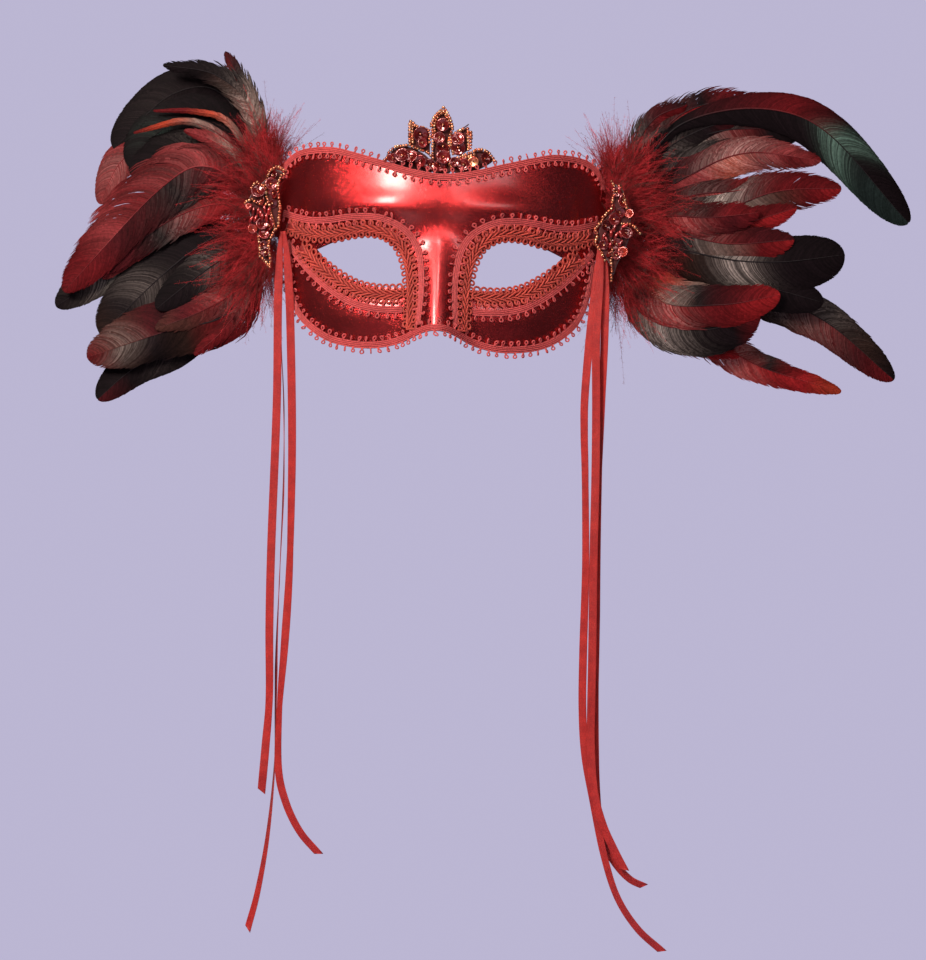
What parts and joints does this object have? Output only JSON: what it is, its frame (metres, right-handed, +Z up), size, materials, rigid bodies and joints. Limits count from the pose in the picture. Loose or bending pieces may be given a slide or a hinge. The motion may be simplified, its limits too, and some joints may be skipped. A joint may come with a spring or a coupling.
{
  "type": "masquerade mask",
  "caption": "Half-face masquerade mask with almond eye openings, braid trim, beaded crown and temple appliques, feather wings and ribbon ties.",
  "frame": {"origin": "on the bridge of the wearer's nose, just inside the lining, on the line between the eyes", "axes": "+X to the viewer's right, +Y towards the wearer's face, +Z up"},
  "size_m": [0.4755, 0.1063, 0.4849],
  "materials": {
    "shell": "metallic red satin with fine sparkle",
    "lining": "black flocked felt",
    "braid": "coral red ribbed picot braid",
    "gimp": "orange red scroll gimp",
    "felt": "dark red felt",
    "beads": "copper lined seed beads",
    "stones": "dark red faceted stones and sequins",
    "marabou": "red down",
    "feather": "black and red feathers with a green and copper sheen",
    "ribbon": "red double-faced satin"
  },
  "bodies": {
    "mask": {"mask_shell": "shell", "inner_lining": "lining", "left_inner_patch": "lining", "right_inner_patch": "lining", "top_edge_braid": "braid", "bottom_edge_braid": "braid", "left_brow_braid": "braid", "right_brow_braid": "braid", "left_cheek_braid": "braid", "right_cheek_braid": "braid", "left_upper_eye_gimp": "gimp", "left_lower_eye_gimp": "gimp", "right_upper_eye_gimp": "gimp", "right_lower_eye_gimp": "gimp", "crown_backing": "felt", "left_temple_backing": "felt", "right_temple_backing": "felt", "left_feather_pad": "felt", "right_feather_pad": "felt", "crown_bead_edge": "beads", "left_temple_bead_edge": "beads", "right_temple_bead_edge": "beads", "crown_stone_1": "stones", "crown_stone_2": "stones", "crown_stone_3": "stones", "crown_stone_4": "stones", "crown_stone_5": "stones", "crown_stone_6": "stones", "left_temple_sequin_1": "stones", "left_temple_sequin_2": "stones", "right_temple_sequin_1": "stones", "right_temple_sequin_2": "stones", "left_marabou": "marabou", "right_marabou": "marabou", "left_feather_big_red": "feather", "left_feather_red_lobe": "feather", "left_feather_dark_hackle": "feather", "left_feather_bottom_brown": "feather", "left_feather_middle_black": "feather", "left_feather_green_tip": "feather", "left_feather_brown_hackle": "feather", "left_feather_bottom_black": "feather", "left_feather_second_black": "feather", "left_feather_top_black": "feather", "right_feather_red_tipped": "feather", "right_feather_taupe": "feather", "right_feather_olive_black": "feather", "right_feather_red_streak": "feather", "right_feather_red_pink": "feather", "right_feather_big_green": "feather", "right_feather_black_green": "feather", "right_feather_serrated": "feather", "right_feather_long_brown": "feather", "right_feather_red_pointed": "feather"},
    "left_ties": {"left_outer_ribbon": "ribbon", "left_middle_ribbon": "ribbon", "left_inner_ribbon": "ribbon"},
    "right_ties": {"right_outer_ribbon": "ribbon", "right_middle_ribbon": "ribbon", "right_inner_ribbon": "ribbon"}
  },
  "joints": [
    {"name": "left_tie_swing", "type": "hinge", "parent": "mask", "child": "left_ties", "pos_m": [-0.0864, 0.0322, 0.008], "axis": [0, 1, 0], "range_deg": [0, 75]},
    {"name": "right_tie_swing", "type": "hinge", "parent": "mask", "child": "right_ties", "pos_m": [0.0887, 0.0322, 0.0075], "axis": [0, -1, 0], "range_deg": [0, 75]}
  ]
}
